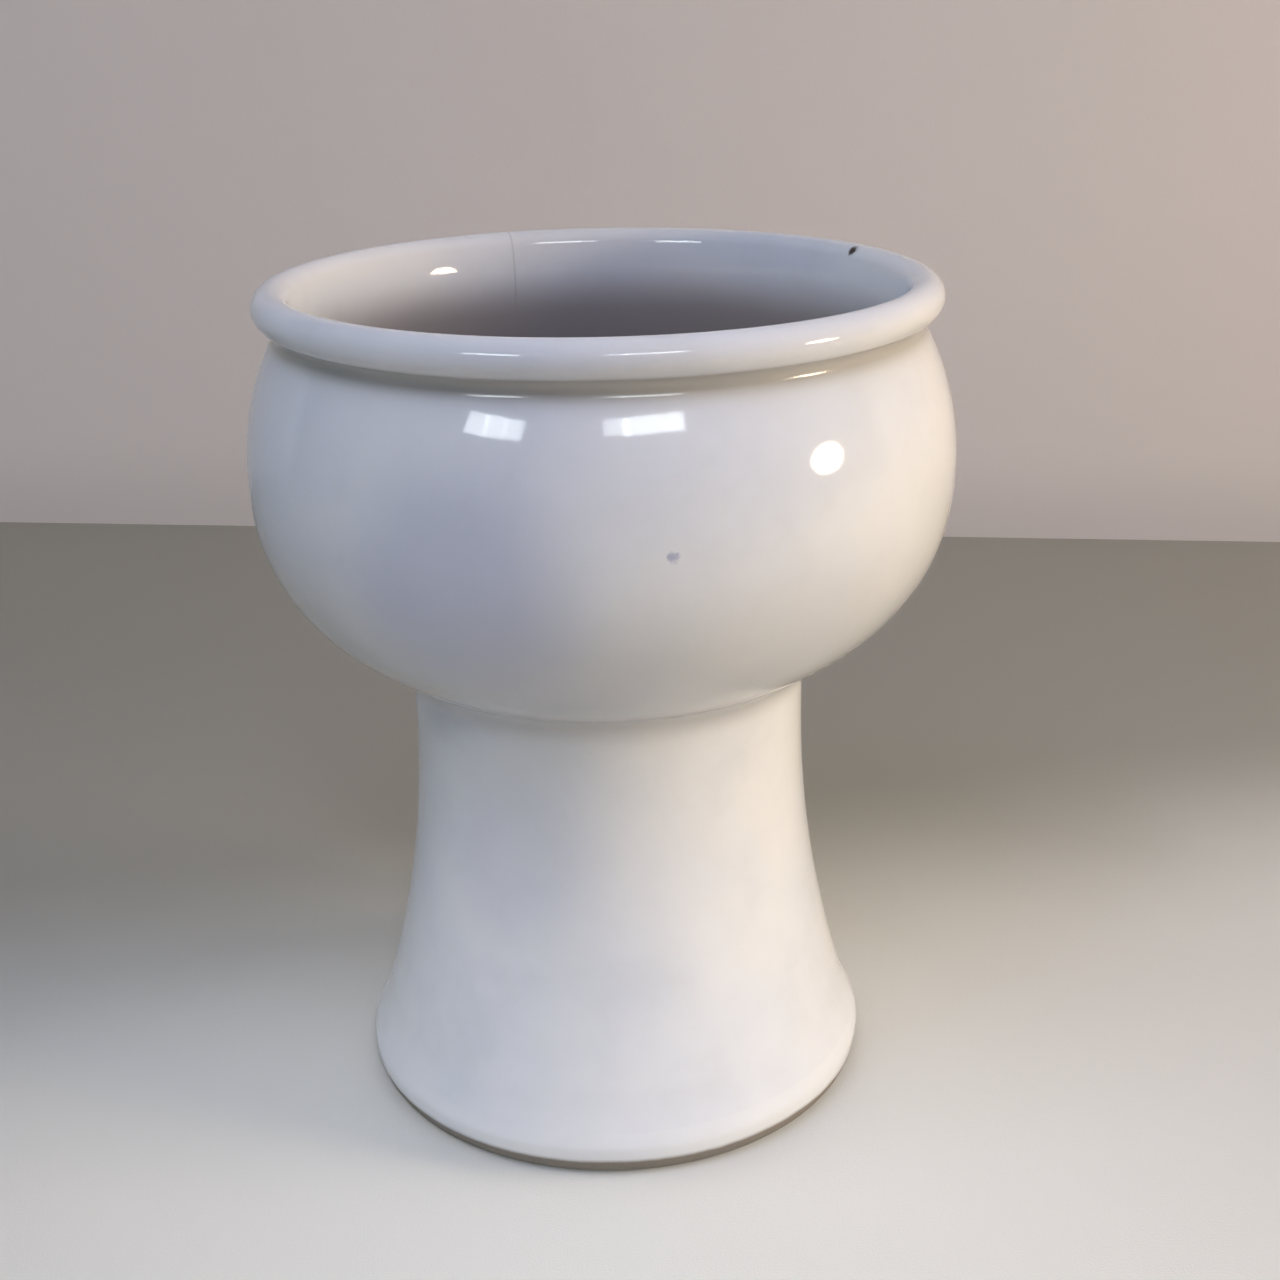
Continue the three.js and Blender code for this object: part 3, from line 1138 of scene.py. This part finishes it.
class VASE_OT_studio(bpy.types.Operator):
    """Floor, backdrop, lights and camera"""

    bl_idname = "vase.studio"
    bl_label = "Studio"

    def execute(self, context):
        studio = context.scene.vase_studio
        self.sheets(studio)
        self.lights(context.scene)
        self.camera(context.scene, studio)
        return {"FINISHED"}

    def sheets(self, studio):
        floor = [(*corner, 0) for corner in ROOM_CORNERS]
        stage_sheet("floor_cloth", floor, floor_material(studio))
        lean = ROOM_SIDE * math.tan(studio.backdrop_turn)
        left = (-ROOM_SIDE, studio.backdrop_distance + lean)
        right = (ROOM_SIDE, studio.backdrop_distance - lean)
        backdrop = upright_corners(left, right, BACKDROP_HEIGHT)
        stage_sheet("backdrop_cloth", backdrop, backdrop_material(studio))
        self.room_walls(studio)

    def room_walls(self, studio):
        """Plain walls on every side, for the camera only: they neither light the vase nor show in
        its glaze."""
        material = wall_material(studio)
        ends = zip(ROOM_CORNERS, ROOM_CORNERS[1:] + ROOM_CORNERS[:1])
        for number, (start, end) in enumerate(ends):
            corners = upright_corners(start, end, ROOM_HEIGHT)
            wall = stage_sheet(f"room_wall_{number}", corners, material)
            wall.visible_diffuse = wall.visible_glossy = wall.visible_shadow = False

    def lights(self, scene):
        belly = (0, 0, scene.vase_sizes.belly_height)
        area_light("lamp", 69.8, 7, 0.6, (0.125, 0.095), (1.25, 1.0, 0.70), belly, "ELLIPSE")
        in_front = (0.03, -0.25, 0)
        soft_panel("panel_above", 10, 88, 0.5, (0.4, 0.4), (0.90, 0.97, 1.25), in_front)
        for name, settings in PANELS.items():
            soft_panel(name, *settings, belly)
        self.foot_spot()
        for number, pane in enumerate(WINDOW_PANES):
            window_pane(f"pane_{number}", *pane, belly)
        scene.world = bpy.data.worlds.new("room")
        scene.world.use_nodes = True
        background = scene.world.node_tree.nodes["Background"]
        background.inputs["Color"].default_value = (1, 1, 1, 1)
        background.inputs["Strength"].default_value = 0.02
        scene.view_settings.view_transform = "Standard"

    def foot_spot(self):
        """A soft pool of light on the foot and on the floor in front."""
        data = bpy.data.lights.new("spot_on_foot", "SPOT")
        data.spot_size = math.radians(17)
        data.spot_blend = 1
        data.shadow_soft_size = 0.08
        coloured(data, (15.2, 15.5, 16.8))
        place_light(data, heading(8, 40), 1.0, (0, -0.10, 0)).visible_glossy = False

    def camera(self, scene, studio):
        data = bpy.data.cameras.new("camera")
        data.sensor_width = 36
        data.lens = studio.focal_length
        data.clip_start = 0.01
        camera = bpy.data.objects.new("camera", data)
        scene.collection.objects.link(camera)
        tilt, turn, roll = studio.camera_tilt, studio.camera_turn, studio.camera_roll
        ahead = heading(180 - math.degrees(turn), -math.degrees(tilt))
        level = Vector((math.cos(turn), -math.sin(turn), 0))
        upright = level.cross(ahead)
        right = math.cos(roll) * level + math.sin(roll) * upright
        up = math.cos(roll) * upright - math.sin(roll) * level
        pose = Matrix((right, up, -ahead)).transposed().to_4x4()
        pose.translation = (0, -studio.camera_distance, studio.camera_height)
        camera.matrix_world = pose
        scene.camera = camera


# ---- Add-on ----

PIECE_OPERATORS = (
    VASE_OT_clay, VASE_OT_foot, VASE_OT_pedestal_glaze, VASE_OT_collar,
    VASE_OT_bowl_glaze, VASE_OT_rim, VASE_OT_lining)


class VASE_PT_panel(bpy.types.Panel):
    """Lists the vase's pieces and its studio"""

    bl_idname = "VASE_PT_panel"
    bl_label = "Footed Vase"
    bl_space_type = "VIEW_3D"
    bl_region_type = "UI"
    bl_category = "Vase"

    def draw(self, context):
        for group in SETTINGS:
            settings = getattr(context.scene, group)
            box = self.layout.box()
            for name in settings.bl_rna.properties.keys():
                if name not in ("rna_type", "name"):
                    box.prop(settings, name)
        for operator in PIECE_OPERATORS + (VASE_OT_studio,):
            self.layout.operator(operator.bl_idname)


SETTINGS = {"vase_sizes": VaseSizes, "vase_finish": VaseFinish, "vase_studio": VaseStudio}
CLASSES = (*SETTINGS.values(), *PIECE_OPERATORS, VASE_OT_studio, VASE_PT_panel)


def register():
    for cls in CLASSES:
        bpy.utils.register_class(cls)
    for name, group in SETTINGS.items():
        setattr(bpy.types.Scene, name, PointerProperty(type=group))


def unregister():
    for name in SETTINGS:
        delattr(bpy.types.Scene, name)
    for cls in reversed(CLASSES):
        bpy.utils.unregister_class(cls)


def main():
    register()
    bpy.ops.vase.clay()
    bpy.ops.vase.foot()
    bpy.ops.vase.pedestal_glaze()
    bpy.ops.vase.collar()
    bpy.ops.vase.bowl_glaze()
    bpy.ops.vase.rim()
    bpy.ops.vase.lining()
    bpy.ops.vase.studio()


if __name__ == "__main__":
    main()
